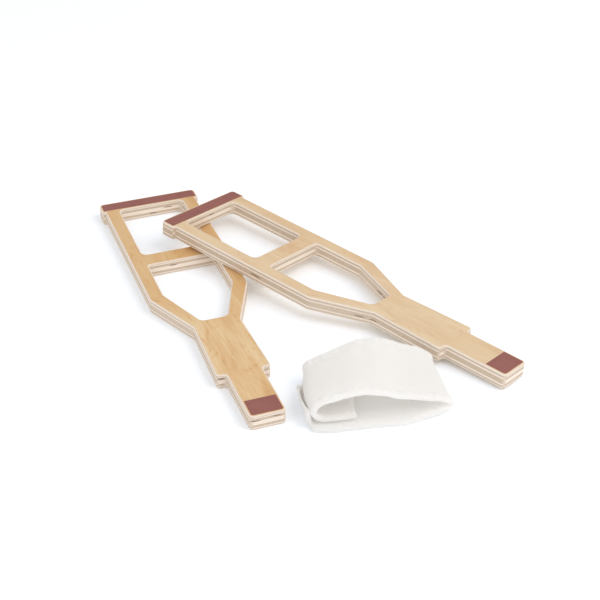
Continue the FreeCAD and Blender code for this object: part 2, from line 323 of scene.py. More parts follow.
# Middle line of the closing tab at its front and back edge: from its seam on the floor layer up
# beside the left fold. Its end slopes, so the back edge is the shorter one.
TAB_FRONT_EDGE = ((4.0, 1.4), (1.9, 1.6), (1.0, 3.1), (0.6, 5.6), (0.5, 8.0), (0.8, 10.2))
TAB_BACK_EDGE = ((5.2, 1.4), (3.4, 1.6), (2.4, 2.4), (1.8, 3.6), (1.5, 4.8), (1.4, 6.0))

# Waves in the slack cloth: height, length along the band, length across it, and noise seed.
SLACK_WAVES = ((0.60, 19, 17, 1.3), (0.26, 7, 11, 5.1))

# Puckers along the hem seam: height, how closely they follow each other, how much and over what
# length that rhythm drifts, and how wide they are.
PUCKER_HEIGHT = 0.15
PUCKER_RATE = 1.55
PUCKER_DRIFT = 1.8
PUCKER_DRIFT_LENGTH = 6.5
PUCKER_WIDTH = 2.0
LEAST_PUCKER = 0.35

# Beside the hem: a crease of uneven height and a groove, each with its distance from the edge and
# its width. The crease's mean and variation are shares of its height.
CREASE_HEIGHT = 0.30
CREASE_MEAN = 0.6
CREASE_VARIATION = 0.6
CREASE_PLACE = (7.6, 1.1)
CREASE_WAVE = 15
CREASE_SEED = 8.7
GROOVE_DEPTH = 0.26
GROOVE_PLACE = (5.6, 0.9)

# How far the front and back edge wander, and how uneven the cloth's thickness is.
EDGE_WANDER = 0.6
EDGE_WANDER_WAVE = 17
EDGE_WANDER_SEEDS = (2.2, 9.4)
THICKNESS_UNEVENNESS = 0.10
THICKNESS_WAVE = 5
THICKNESS_SEED = 3.3

# Sewing thread: how tightly it is twisted and how much painted shade darkens the twist's hollows, how
# far a stitch sinks or stands along its length, and how many stations it spans.
THREAD_TWIST = 9.0
TWIST_SHADE = 0.3
STITCH_HEIGHTS = (-0.12, 0.01, 0.03, 0.01, -0.12)
STITCH_STATIONS = 3.4
STITCH_END_GAP = 6
STITCH_RADIUS = 0.12
THREAD_SIDES = 6

# Fastener tape: half its backing's thickness, and the height and forward reach of each tiny loop.
TAPE_HALF = 0.10
TAPE_LOOP_SHAPE = ((0.0, 0.0), (0.18, 0.4), (0.20, 1.0), (0.0, 1.5))
TAPE_LOOP_STEP = 0.8
TAPE_LOOP_RADIUS = 0.07
WELD_DISTANCE = 0.004 * MM

# Mesh spacing: between stations along the band, and the places of a strip's columns from its edge
# and how near they come to its middle.
STATION_STEP = 0.6
FINE_STATIONS = 4000
SMOOTHING_ROUNDS = 6
EDGE_STEPS = (
    0.0, 0.08, 0.3, 0.65, 1.1, 1.8, 2.5, 3.0, 3.4, 3.8, 4.4, 5.2, 6.2, 7.4, 9.0, 11.5, 14.5,
)
MIDDLE_GAP = 1.5


def linear(colour):
    """A screen colour turned into the linear colour that a shader takes."""
    parts = []
    for value in colour:
        share = value / 255.0
        parts.append(share / 12.92 if share <= 0.04045 else ((share + 0.055) / 1.055) ** 2.4)
    return (*parts, 1.0)


class Shader:
    """A short way to build a material's nodes."""

    def __init__(self, name):
        self.material = bpy.data.materials.new(name)
        self.material.use_nodes = True
        self.tree = self.material.node_tree
        self.tree.nodes.clear()
        self.output = self.tree.nodes.new("ShaderNodeOutputMaterial")
        self.surface = self.tree.nodes.new("ShaderNodeBsdfPrincipled")
        self.link(self.surface.outputs["BSDF"], self.output.inputs["Surface"])

    def link(self, source, target):
        """Join one node's output to another's input."""
        self.tree.links.new(source, target)

    def feed(self, socket, value):
        """Put a number, a colour, a vector or another node's output into a socket."""
        if isinstance(value, bpy.types.NodeSocket):
            self.link(value, socket)
        else:
            socket.default_value = value

    def node(self, kind, **settings):
        made = self.tree.nodes.new(kind)
        for key, value in settings.items():
            setattr(made, key, value)
        return made

    def math(self, operation, first, second=0.0, third=0.0, clamp=False):
        made = self.node("ShaderNodeMath", operation=operation, use_clamp=clamp)
        self.feed(made.inputs[0], first)
        self.feed(made.inputs[1], second)
        self.feed(made.inputs[2], third)
        return made.outputs[0]

    def vector(self, operation, first, second=(0, 0, 0)):
        made = self.node("ShaderNodeVectorMath", operation=operation)
        self.feed(made.inputs[0], first)
        self.feed(made.inputs[1], second)
        scalar = operation in ("DOT_PRODUCT", "LENGTH", "DISTANCE")
        return made.outputs["Value" if scalar else "Vector"]

    def split(self, vector):
        made = self.node("ShaderNodeSeparateXYZ")
        self.feed(made.inputs[0], vector)
        return made.outputs

    def join(self, x, y, z):
        made = self.node("ShaderNodeCombineXYZ")
        for socket, value in zip(made.inputs, (x, y, z)):
            self.feed(socket, value)
        return made.outputs[0]

    def noise(self, vector, scale, detail=2.0, roughness=0.5, distortion=0.0):
        made = self.node("ShaderNodeTexNoise")
        self.feed(made.inputs["Vector"], vector)
        self.feed(made.inputs["Scale"], scale)
        self.feed(made.inputs["Detail"], detail)
        self.feed(made.inputs["Roughness"], roughness)
        self.feed(made.inputs["Distortion"], distortion)
        return made.outputs["Fac"]

    def mix(self, factor, first, second, blend="MIX"):
        made = self.node("ShaderNodeMix", data_type="RGBA", blend_type=blend)
        self.feed(made.inputs["Factor"], factor)
        self.feed(made.inputs["A"], first)
        self.feed(made.inputs["B"], second)
        return made.outputs["Result"]

    def stretch(self, parts, factors):
        """Each part of a place times its own factor."""
        return [self.math("MULTIPLY", part, factor) for part, factor in zip(parts, factors)]

    def remap(self, value, low, high, to_low=0.0, to_high=1.0):
        made = self.node("ShaderNodeMapRange", interpolation_type="SMOOTHSTEP")
        self.feed(made.inputs["Value"], value)
        self.feed(made.inputs["From Min"], low)
        self.feed(made.inputs["From Max"], high)
        self.feed(made.inputs["To Min"], to_low)
        self.feed(made.inputs["To Max"], to_high)
        return made.outputs["Result"]

    def bump(self, height, distance, strength=1.0):
        made = self.node("ShaderNodeBump")
        self.feed(made.inputs["Height"], height)
        self.feed(made.inputs["Distance"], distance)
        self.feed(made.inputs["Strength"], strength)
        self.link(made.outputs["Normal"], self.surface.inputs["Normal"])

    def let_light_through(self, colour, share):
        """Thin cloth: part of the light that reaches one face leaves by the other."""
        glow = self.node("ShaderNodeBsdfTranslucent")
        self.feed(glow.inputs["Color"], colour)
        both = self.node("ShaderNodeMixShader")
        self.feed(both.inputs[0], share)
        self.link(self.surface.outputs["BSDF"], both.inputs[1])
        self.link(glow.outputs["BSDF"], both.inputs[2])
        self.link(both.outputs[0], self.output.inputs["Surface"])

    def finish(self, colour, roughness, **others):
        self.feed(self.surface.inputs["Base Color"], colour)
        self.feed(self.surface.inputs["Roughness"], roughness)
        for key, value in others.items():
            self.feed(self.surface.inputs[key.replace("_", " ")], value)
        return self.material


def points_of(node):
    """A CAD node's vertices as rows of numbers."""
    return np.array([vertex.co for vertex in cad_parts[node].data.vertices], float)


def make_axes(prefix):
    """An empty in a crutch's own frame: Y from foot to head, Z out of its painted face."""
    head = points_of(prefix + "armrest_paint")
    foot = points_of(prefix + "foot_paint")
    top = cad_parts[prefix + "armrest_paint"].data
    largest = max(top.polygons, key=lambda face: face.area * face.normal.z)
    up = largest.normal.copy()
    along = Vector(head.mean(axis=0) - foot.mean(axis=0)).normalized()
    across = along.cross(up).normalized()
    up = across.cross(along)
    rotation = Matrix((across, along, up)).transposed()
    back = points_of(prefix + "back_veneer") @ np.array(up)
    origin = Vector(head.mean(axis=0))
    origin += up * (back.min() - origin.dot(up))
    axes = bpy.data.objects.new(prefix + "axes", None)
    bpy.context.scene.collection.objects.link(axes)
    axes.matrix_world = Matrix.Translation(origin) @ rotation.to_4x4()
    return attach(axes, prefix + "crutch")


def layer_heights(prefix, node, axes):
    """Where one ply starts and ends above the crutch's back face, in millimetres."""
    inverse = np.array(axes.matrix_world.inverted())
    heights = points_of(prefix + node) @ inverse[2, :3] + inverse[2, 3]
    return heights.min() / MM, heights.max() / MM


def millimetres(shader, axes):
    """Texture coordinates in millimetres in the crutch's own frame."""
    coordinates = shader.node("ShaderNodeTexCoord", object=axes)
    return shader.vector("MULTIPLY", coordinates.outputs["Object"], (PER_METRE,) * 3)


def surface_direction(shader):
    """The surface's normal in the row frame at rest."""
    geometry = shader.node("ShaderNodeNewGeometry")
    turned = shader.node(
        "ShaderNodeVectorTransform", vector_type="NORMAL", convert_from="WORLD", convert_to="OBJECT"
    )
    shader.link(geometry.outputs["True Normal"], turned.inputs[0])
    return turned.outputs[0]


def void_mask(shader, place, prefix):
    """One where an inner ply has a gap, zero elsewhere."""
    mask = 0.0
    for owner, centre, reach in VOIDS:
        if owner != prefix:
            continue
        offset = shader.vector("DIVIDE", shader.vector("SUBTRACT", place, centre), reach)
        inside = shader.remap(shader.vector("LENGTH", offset), VOID_EDGE, VOID_FULL)
        mask = shader.math("MAXIMUM", mask, inside)
    return mask


def wood_patterns(shader, place, sideways, along):
    """The noise of every wood pattern, drawn out along the grain."""
    x, y, z = shader.split(place)
    slow = shader.stretch((x, y), WANDER_WAVES)
    wander = shader.noise(shader.join(*slow, WANDER_LAYER), 1.0)
    drift = {
        "figure": shader.math("MULTIPLY", wander, WANDER_REACH),
        "streaks": shader.math("MULTIPLY", along, STREAK_LEAN),
    }
    patterns = {}
    for name, (waves, detail, roughness, distortion) in WOOD_PATTERNS.items():
        across, lengthwise, through = shader.stretch((sideways, along, z), waves)
        if name in drift:
            across = shader.math("ADD", across, drift[name])
        spot = shader.join(across, lengthwise, through)
        patterns[name] = shader.noise(spot, 1.0, detail, roughness, distortion)
    return patterns


def face_colour(shader, patterns, y, paleness, amber, figure_depth):
    """The sanded face: pale birch with its figure, fibres, amber patches, light streaks and pores."""
    face = linear(FACE_PALE)
    for name, low, high, strength, scaled, colour in FACE_LAYERS:
        full = strength * figure_depth if scaled else strength
        face = shader.mix(shader.remap(patterns[name], low, high, 0.0, full), face, linear(colour))
    face = shader.mix(paleness, face, linear(FACE_WASH))
    deepening = shader.remap(y, AMBER_FROM, AMBER_FULL, 0.0, amber)
    return shader.mix(deepening, face, linear(FACE_AMBER))


def edge_colour(shader, node, sideways, along, z, end_share):
    """The cut edge: cream where the grain runs along it, tan and speckled where it ends there."""
    drawn = shader.noise(shader.join(*shader.stretch((along, sideways, z), DRAWN_WAVES)), 1.0, 2.0)
    tan_share = shader.remap(drawn, *DRAWN_RANGE)
    long_edge = shader.mix(tan_share, linear(EDGE_CREAM), linear(EDGE_TAN))
    spot = shader.join(*shader.stretch((sideways, along, z), SPECKLE_WAVES))
    dark_share = shader.remap(shader.noise(spot, 1.0, 3.0, 0.7), *SPECKLE_RANGE)
    end_edge = shader.mix(dark_share, linear(EDGE_TAN), linear(END_GRAIN_DARK))
    strength = VENEER_END_GRAIN if node.endswith("veneer") else PLY_END_GRAIN
    return shader.mix(shader.math("MULTIPLY", end_share, strength), long_edge, end_edge)


def with_glue_line(shader, edge, z, low, high):
    """Darken the cut edge where a ply meets the glue above and below it."""
    to_bottom = shader.math("SUBTRACT", z, low)
    to_top = shader.math("SUBTRACT", high, z)
    nearest = shader.math("MINIMUM", to_bottom, to_top)
    glue = shader.remap(nearest, GLUE_FADES_AT, GLUE_FULL_AT)
    return shader.mix(shader.math("MULTIPLY", glue, GLUE_STRENGTH), edge, linear(GLUE_LINE))


def wood_material(prefix, node, axes, paleness, amber, figure_depth):
    """Birch: a figured face, pale long grain and darker end grain on the cut edge, glue lines."""
    shader = Shader(prefix + node)
    place = millimetres(shader, axes)
    x, y, z = shader.split(place)
    matrix = axes.matrix_world.to_3x3()
    runs_long = node in LONG_GRAIN_NODES
    grain = tuple(matrix.col[1] if runs_long else matrix.col[0])
    sideways, along = (x, y) if runs_long else (y, x)

    direction = surface_direction(shader)
    lean = shader.math("ABSOLUTE", shader.vector("DOT_PRODUCT", direction, grain))
    end_share = shader.math("MULTIPLY", lean, lean)
    up = tuple(matrix.col[2])
    flatness = shader.math("ABSOLUTE", shader.vector("DOT_PRODUCT", direction, up))
    flat_share = shader.remap(flatness, *FACE_SQUARENESS)

    patterns = wood_patterns(shader, place, sideways, along)
    face = face_colour(shader, patterns, y, paleness, amber, figure_depth)
    edge = edge_colour(shader, node, sideways, along, z, end_share)
    edge = with_glue_line(shader, edge, z, *layer_heights(prefix, node, axes))
    colour = shader.mix(flat_share, edge, face)
    # Painted shade: the gaps in the inner plies are darkened on the cut edge, as if shade fell in
    # them.
    voids = void_mask(shader, place, prefix)
    off_the_face = shader.math("SUBTRACT", VOID_SHADE_STRENGTH, flat_share, clamp=True)
    colour = shader.mix(shader.math("MULTIPLY", voids, off_the_face), colour, linear(VOID_SHADE))

    fibre = patterns["fibre"]
    pores = shader.remap(patterns["pores"], *PORE_RANGE)
    raised = shader.math("MULTIPLY", fibre, FIBRE_HEIGHT)
    relief = shader.math("SUBTRACT", raised, shader.math("MULTIPLY", pores, PORE_DEPTH))
    relief = shader.math("SUBTRACT", relief, shader.math("MULTIPLY", voids, VOID_DEPTH))
    shader.bump(relief, *WOOD_RELIEF)
    roughness = shader.math("ADD", WOOD_ROUGHNESS, shader.math("MULTIPLY", fibre, FIBRE_ROUGHNESS))
    return shader.finish(colour, roughness, Specular_IOR_Level=0.35)


def paint_material(prefix, node, axes):
    """Matt dusty rose paint with the wood's fibres just showing through."""
    shader = Shader(prefix + node)
    x, y, z = shader.split(millimetres(shader, axes))
    fibre = shader.noise(shader.join(*shader.stretch((x, y, z), PAINT_FIBRE_WAVES)), 1.0, 3.0, 0.6)
    cloud = shader.noise(shader.join(x, y, z), PAINT_CLOUD_WAVES, 3.0)
    colour = shader.mix(shader.remap(cloud, *PAINT_CLOUD_RANGE), linear(ROSE), linear(ROSE_DEEP))
    colour = shader.mix(shader.remap(fibre, *PAINT_FIBRE_RANGE), colour, linear(ROSE_DEEP))
    shader.bump(fibre, *PAINT_RELIEF)
    return shader.finish(colour, PAINT_ROUGHNESS, Specular_IOR_Level=0.15)


def dress_crutch(prefix, paleness, amber, figure_depth):
    """Give every layer and painted area of one crutch its own material."""
    axes = make_axes(prefix)
    made = {}
    for node in LONG_GRAIN_NODES + CROSS_GRAIN_NODES:
        made[node] = wood_material(prefix, node, axes, paleness, amber, figure_depth)
    for node in PAINT_NODES:
        made[node] = paint_material(prefix, node, axes)
    for node, material in made.items():
        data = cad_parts[prefix + node].data
        data.materials.clear()
        data.materials.append(material)


def cloth_material(name, light, shade, weave_depth):
    """Soft plain-woven cotton: crossed threads, slubs, faint crumple, a pale sheen, painted shade in
    its hollows and a faint painted glow.
    """
    shader = Shader(name)
    place = shader.node("ShaderNodeUVMap", uv_map="cloth").outputs[0]
    u, v, _unused = shader.split(place)
    step = math.pi / WEAVE_PITCH
    warp = shader.math("ABSOLUTE", shader.math("SINE", shader.math("MULTIPLY", u, step)))
    weft = shader.math("ABSOLUTE", shader.math("SINE", shader.math("MULTIPLY", v, step)))
    parity = shader.node("ShaderNodeTexChecker")
    squares = shader.vector("MULTIPLY", place, (1 / WEAVE_PITCH, 1 / WEAVE_PITCH, 1.0))
    shader.feed(parity.inputs["Vector"], squares)
    shader.feed(parity.inputs["Scale"], 1.0)
    over = parity.outputs["Fac"]
    under = shader.math("SUBTRACT", 1.0, over)
    warp_on_top = shader.math("MULTIPLY", warp, over)
    threads = shader.math("ADD", warp_on_top, shader.math("MULTIPLY", weft, under))

    slub_sets = [shader.vector("MULTIPLY", place, waves) for waves in SLUB_WAVES]
    slubs = shader.math("ADD", *(shader.noise(spot, 1.0, 2.0) for spot in slub_sets))
    crumple = shader.noise(shader.vector("MULTIPLY", place, CRUMPLE_WAVES), 1.0, 3.0, 0.55, 0.6)
    fuzz = shader.noise(shader.vector("MULTIPLY", place, FUZZ_WAVES), 1.0, 3.0, 0.7)
    height = shader.math("MULTIPLY", threads, weave_depth)
    for pattern, share in ((slubs, SLUB_HEIGHT), (crumple, CRUMPLE_HEIGHT), (fuzz, FUZZ_HEIGHT)):
        height = shader.math("ADD", height, shader.math("MULTIPLY", pattern, share))
    shader.bump(height, *CLOTH_RELIEF)

    # Painted shade between the threads and in the slubs' hollows.
    between = shader.math("SUBTRACT", 1.0, shader.remap(threads, *THREAD_RISE))
    painted_weave_shade = shader.math("MULTIPLY", between, THREAD_SHADE)
    painted_weave_shade = shader.math("ADD", painted_weave_shade, shader.remap(slubs, *SLUB_SHADE))
    colour = shader.mix(painted_weave_shade, linear(light), linear(shade))
    shader.let_light_through(linear(THROUGH_LIGHT_AND_GLOW), LIGHT_THROUGH)
    return shader.finish(
        colour,
        CLOTH_ROUGHNESS,
        Specular_IOR_Level=0.1,
        Sheen_Weight=0.1,
        Sheen_Roughness=0.6,
        # Painted glow: the cloth gives off faint light of its own.
        Emission_Color=linear(THROUGH_LIGHT_AND_GLOW),
        Emission_Strength=CLOTH_GLOW,
    )


def thread_material():
    """Twisted white sewing thread."""
    shader = Shader("sewing_thread")
    place = shader.node("ShaderNodeUVMap", uv_map="cloth").outputs[0]
    u, v, _unused = shader.split(place)
    twist = shader.math("SINE", shader.math("MULTIPLY", shader.math("ADD", u, v), THREAD_TWIST))
    shader.bump(twist, *THREAD_RELIEF)
    # Painted shade in the hollows of the twist.
    shade = shader.remap(twist, -1.0, 1.0, 0.0, TWIST_SHADE)
    colour = shader.mix(shade, linear(THREAD), linear(COTTON_PAINTED_SHADE))
    return shader.finish(colour, THREAD_ROUGHNESS, Sheen_Weight=0.2)


def smooth_through(points, count):
    """Points along a smooth curve through the given ones."""
    given = np.array(points, float)
    padded = np.vstack([2 * given[0] - given[1], given, 2 * given[-1] - given[-2]])
    steps = np.linspace(0, len(given) - 1, count)
    index = np.minimum(steps.astype(int), len(given) - 2)
    part = (steps - index)[:, None]
    a, b, c, d = (padded[index + shift] for shift in range(4))
    bend = 2 * a - 5 * b + 4 * c - d
    curl = -a + 3 * b - 3 * c + d
    return 0.5 * (2 * b + (c - a) * part + bend * part**2 + curl * part**3)


def even_lines(front, back):
    """Both edges of a sheet, sampled together so that stations are evenly spaced along it."""
    fine = [smooth_through(line, FINE_STATIONS) for line in (front, back)]
    middle = (fine[0] + fine[1]) / 2
    lengths = np.concatenate([[0], np.cumsum(np.linalg.norm(np.diff(middle, axis=0), axis=1))])
    wanted = np.arange(0, lengths[-1], STATION_STEP)
    sampled = []
    for line in fine:
        even = np.stack([np.interp(wanted, lengths, line[:, axis]) for axis in range(2)], 1)
        for _round in range(SMOOTHING_ROUNDS):
            even[1:-1] = (even[:-2] + 2 * even[1:-1] + even[2:]) / 4
        sampled.append(even)
    return wanted, sampled[0], sampled[1]


def ripple(x, y, seed):
    """Smooth noise between about -1 and 1 on a grid of places."""
    flat = zip(np.ravel(x), np.ravel(y))
    values = [noise.noise(Vector((float(a), float(b), seed))) for a, b in flat]
    return 2 * np.array(values).reshape(np.shape(x))


def depths_across(width):
    """Places across a strip, close together at its hems and wide apart in the middle."""
    near = [step for step in EDGE_STEPS if step < width / 2 - MIDDLE_GAP]
    return np.array(near + [width / 2] + [width - step for step in reversed(near)])


def ramp(value, limits):
    """Zero up to the first limit, one beyond the second, straight in between."""
    start, full = limits
    return np.clip((value - start) / (full - start), 0, 1)


def ridge(distance, centre, width):
    """One along a line at some distance from an edge, fading to zero on both sides of it."""
    return np.exp(-(((distance - centre) / width) ** 2))


def edge_distance(depths, width):
    """How far places across a strip are from its nearer edge."""
    return np.minimum(depths, width - depths)


def half_thickness(depths, width, half):
    """Half the cloth's thickness across a strip: thicker hems, pinched at the seam, round edges."""
    distance = edge_distance(depths, width)
    hem = HEM_EXTRA / (1 + np.exp((distance - HEM_DEPTH - HEM_TAIL) * HEM_SHARPNESS))
    pinch = SEAM_PINCH * ridge(distance, HEM_DEPTH, SEAM_PINCH_WIDTH)
    rounding = np.sqrt(1 - (1 - np.clip(distance / EDGE_ROUNDING, 0, 1)) ** 2)
    return (half + hem - pinch) * rounding


def end_rounding(along, reach):
    """Share of the full thickness near a strip's two ends."""
    distance = np.minimum(along - along[0], along[-1] - along)
    return np.sqrt(1 - (1 - np.clip(distance / reach, THINNEST_END, 1)) ** 2)


def normals_of(points):
    """Outward direction at every point of a sheet."""
    along = np.gradient(points, axis=0)
    across = np.gradient(points, axis=1)
    normal = np.cross(along, across)
    return normal / np.linalg.norm(normal, axis=2, keepdims=True)


def side_bulge(deep, height):
    """How far the loop's left side swells between its front and back edge."""
    return FOLD_BULGE * np.sin(np.pi * deep / BAND_WIDTH) * ramp(height, BULGE_HEIGHTS)


def band_sheet(depths):
    """The band's middle surface: stations along it by depths across it, in the bandage's frame."""
    along, front, back = even_lines(FRONT_EDGE, BACK_EDGE)
    share = (depths / BAND_WIDTH)[None, :, None]
    share = share * share * (3 - 2 * share)
    line = front[:, None, :] * (1 - share) + back[:, None, :] * share
    deep = np.broadcast_to(depths[None, :], line.shape[:2])
    fold = ramp(line[..., 0], FOLD_PLACES)
    across = line[..., 0] - fold * side_bulge(deep, line[..., 1])
    return along, np.stack([across, deep, line[..., 1]], 2)


def tab_share(sheet):
    """One where the closing tab lies over the left fold, fading to zero elsewhere."""
    return ramp(sheet[..., 0], UNDER_TAB_PLACES) * ramp(sheet[..., 2], UNDER_TAB_HEIGHTS)


def forward_creep(across, height):
    """How far the layer on the floor has crept out in front of the loop, rounded at its left end."""
    middle = CREEP_MIDDLE * np.sin(np.pi * ramp(across, CREEP_MIDDLE_PLACES))
    left = CREEP_LEFT * np.sin(np.pi * ramp(across, CREEP_LEFT_PLACES))
    corner = CREEP_CORNER * ramp(across, CREEP_CORNER_PLACES)
    rounded_end = np.sqrt(ramp(across, CREEP_END_PLACES))
    return ramp(height, CREEP_HEIGHTS) * (middle + corner + left) * rounded_end


def ruffle(along, sheet, depths):
    """Move a sheet the way soft cloth lies: slack waves, puckered hems, edges that wander."""
    normal = normals_of(sheet)
    length = np.broadcast_to(along[:, None], sheet.shape[:2])
    deep = np.broadcast_to(depths[None, :], sheet.shape[:2])
    distance = edge_distance(deep, BAND_WIDTH)
    off_the_floor = np.maximum(ramp(sheet[..., 2], FREE_HEIGHTS), LEAST_FREE)
    free = off_the_floor * (1 - TAB_HOLD * tab_share(sheet))
    slack = sum(
        height * ripple(length / long_wave, deep / deep_wave, seed)
        for height, long_wave, deep_wave, seed in SLACK_WAVES
    )
    level = np.zeros_like(deep)
    drift = PUCKER_DRIFT * np.sin(length / PUCKER_DRIFT_LENGTH)
    gathers = np.sin(length * PUCKER_RATE + drift)
    pucker = PUCKER_HEIGHT * gathers * ridge(distance, HEM_DEPTH, PUCKER_WIDTH)
    unevenness = CREASE_MEAN + CREASE_VARIATION * ripple(length / CREASE_WAVE, level, CREASE_SEED)
    crease = CREASE_HEIGHT * ridge(distance, *CREASE_PLACE) * unevenness
    crease = crease - GROOVE_DEPTH * ridge(distance, *GROOVE_PLACE)
    lift = free * (slack + crease) + pucker * (LEAST_PUCKER + (1 - LEAST_PUCKER) * free)
    moved = sheet + normal * lift[..., None]
    wander_front, wander_back = (
        EDGE_WANDER * ripple(length / EDGE_WANDER_WAVE, level, seed) for seed in EDGE_WANDER_SEEDS
    )
    share = deep / BAND_WIDTH
    moved[..., 1] += wander_front * (1 - share) + wander_back * share
    moved[..., 1] -= forward_creep(sheet[..., 0], sheet[..., 2]) * (1 - share)
    return moved


def to_row_frame(points):
    """From the bandage's frame in millimetres to the row frame in metres."""
    turn = math.radians(BANDAGE_TURN)
    flat = np.reshape(points, (-1, 3))
    x = flat[:, 0] * math.cos(turn) - flat[:, 1] * math.sin(turn)
    y = flat[:, 0] * math.sin(turn) + flat[:, 1] * math.cos(turn)
    return (np.stack([x, y, flat[:, 2]], 1) + np.array(BANDAGE_CORNER)) * MM


class Cloth:
    """Collects the vertices, faces and cloth coordinates of one soft piece."""

    def __init__(self):
        self.points = []
        self.faces = []
        self.places = []
        self.kinds = []

    def add(self, points, faces, places, kind):
        """Add some mesh. Kind is 0 for cloth and 1 for thread, and picks the material."""
        first = sum(len(block) for block in self.points)
        self.points.append(np.reshape(points, (-1, 3)))
        self.places.append(np.reshape(places, (-1, 2)))
        self.faces += [tuple(first + corner for corner in face) for face in faces]
        self.kinds += [kind] * len(faces)

    def add_strip(self, sheet, along, depths, thickness):
        """A closed strip: an outer and an inner face that meet at round edges and ends."""
        normal = normals_of(sheet)
        outer = sheet + normal * thickness[..., None]
        inner = sheet - normal * thickness[..., None]
        rows, columns = sheet.shape[:2]
        points = np.concatenate([outer.reshape(-1, 3), inner.reshape(-1, 3)])
        length, deep = np.meshgrid(along, depths, indexing="ij")
        places = np.stack([length, deep], 2).reshape(-1, 2)
        count = rows * columns
        faces = []
        for row in range(rows - 1):
            for column in range(columns - 1):
                a = row * columns + column
                b, c, d = a + 1, a + columns + 1, a + columns
                faces.append((a, d, c, b))
                faces.append((count + a, count + b, count + c, count + d))
        for row in (0, rows - 1):
            for column in range(columns - 1):
                a = row * columns + column
                faces.append((a, a + 1, count + a + 1, count + a))
        self.add(points, faces, np.concatenate([places, places]), 0)
        return outer, inner

    def add_stitches(self, surface, along, column, side, first=3, pitch=5):
        """A row of sewn threads on one face of a strip, parallel to its edge."""
        normal = normals_of(surface) * side
        for start in range(first, len(along) - STITCH_END_GAP, pitch):
            rows = np.linspace(start, start + STITCH_STATIONS, len(STITCH_HEIGHTS))
            centre = self.between(surface[:, column], rows)
            up = self.between(normal[:, column], rows)
            centre = centre + up * np.array(STITCH_HEIGHTS)[:, None]
            self.add_thread(centre, up, STITCH_RADIUS)

    @staticmethod
    def between(values, rows):
        """Values at fractional rows."""
        low = np.floor(rows).astype(int)
        part = (rows - low)[:, None]
        return values[low] * (1 - part) + values[low + 1] * part

    def add_thread(self, centre, up, radius):
        """A short thread through some points."""
        ahead = np.gradient(centre, axis=0)
        ahead /= np.linalg.norm(ahead, axis=1, keepdims=True)
        across = np.cross(ahead, up)
        angles = np.linspace(0, 2 * np.pi, THREAD_SIDES, endpoint=False)
        rings = [
            centre + radius * (math.cos(angle) * across + math.sin(angle) * up) for angle in angles
        ]
        points = np.stack(rings, 1).reshape(-1, 3)
        faces = []
        for row in range(len(centre) - 1):
            for corner in range(THREAD_SIDES):
                a = row * THREAD_SIDES + corner
                b = row * THREAD_SIDES + (corner + 1) % THREAD_SIDES
                faces.append((a, b, b + THREAD_SIDES, a + THREAD_SIDES))
        faces.append(tuple(range(THREAD_SIDES)))
        faces.append(tuple(range(len(points) - THREAD_SIDES, len(points))))
        self.add(points, faces, points[:, :2], 1)

    def build(self, name, materials):
        """Turn everything collected into one object, with its cloth coordinates as a UV map."""
        mesh = bpy.data.meshes.new(name)
        points = np.concatenate(self.points)
        places = np.concatenate(self.places)
        mesh.from_pydata(to_row_frame(points).tolist(), [], self.faces)
        layer = mesh.uv_layers.new(name="cloth")
        corners = np.empty(len(mesh.loops), int)
        mesh.loops.foreach_get("vertex_index", corners)
        layer.data.foreach_set("uv", places[corners].astype(np.float32).ravel())
        for material in materials:
            mesh.materials.append(material)
        mesh.polygons.foreach_set("material_index", np.array(self.kinds, np.int32))
        tidy = bmesh.new()
        tidy.from_mesh(mesh)
        bmesh.ops.remove_doubles(tidy, verts=tidy.verts, dist=WELD_DISTANCE)
        bmesh.ops.recalc_face_normals(tidy, faces=tidy.faces)
        tidy.to_mesh(mesh)
        tidy.free()
        mesh.shade_smooth()
        piece = bpy.data.objects.new(name, mesh)
        bpy.context.scene.collection.objects.link(piece)
        return piece


def seam_columns(depths, width):
    """The two columns of a strip that its hem seams run along."""
    return [int(np.argmin(abs(depths - place))) for place in (HEM_DEPTH, width - HEM_DEPTH)]


def make_band(cotton, thread):
    """The wrapped band, hemmed and topstitched along both edges."""
    depths = depths_across(BAND_WIDTH)
    along, sheet = band_sheet(depths)
    sheet = ruffle(along, sheet, depths)
    rounding = end_rounding(along, BAND_END_ROUNDING)
    thickness = rounding[:, None] * half_thickness(depths, BAND_WIDTH, BAND_HALF)[None, :]
    grid = np.meshgrid(along / THICKNESS_WAVE, depths / THICKNESS_WAVE, indexing="ij")
    unevenness = ripple(*grid, THICKNESS_SEED)
    thickness = thickness * (1 + THICKNESS_UNEVENNESS * unevenness)
    sheet[..., 2] = np.maximum(sheet[..., 2], thickness + FLOOR_GAP)
    cloth = Cloth()
    outer, inner = cloth.add_strip(sheet, along, depths, thickness)
    for column in seam_columns(depths, BAND_WIDTH):
        cloth.add_stitches(outer, along, column, 1)
        cloth.add_stitches(inner, along, column, -1)
    band = cloth.build("bandage_cloth_band", [cotton, thread])
    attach(band, "bandage")
    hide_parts("bandage_band")


def tab_sheet(depths):
    """The closing tab's middle surface, from its seam up beside the left fold."""
    edges = (TAB_FRONT_EDGE, TAB_BACK_EDGE)
    front, back = (smooth_through(edge, TAB_ROWS)[:, None, :] for edge in edges)
    share = (depths / TAB_WIDTH)[None, :, None] ** TAB_SLOPE
    line = front * (1 - share) + back * share
    deep = np.broadcast_to(TAB_START + depths, line.shape[:2])
    across = line[..., 0] - side_bulge(deep, line[..., 1])
    deep = deep - forward_creep(across, line[..., 1]) * (1 - share[..., 0])
    return np.stack([across, deep, line[..., 1]], 2)


def length_along(sheet):
    """How far along a strip each of its rows lies."""
    steps = np.linalg.norm(np.diff(sheet[:, 0], axis=0), axis=1)
    return np.concatenate([[0], np.cumsum(steps)])


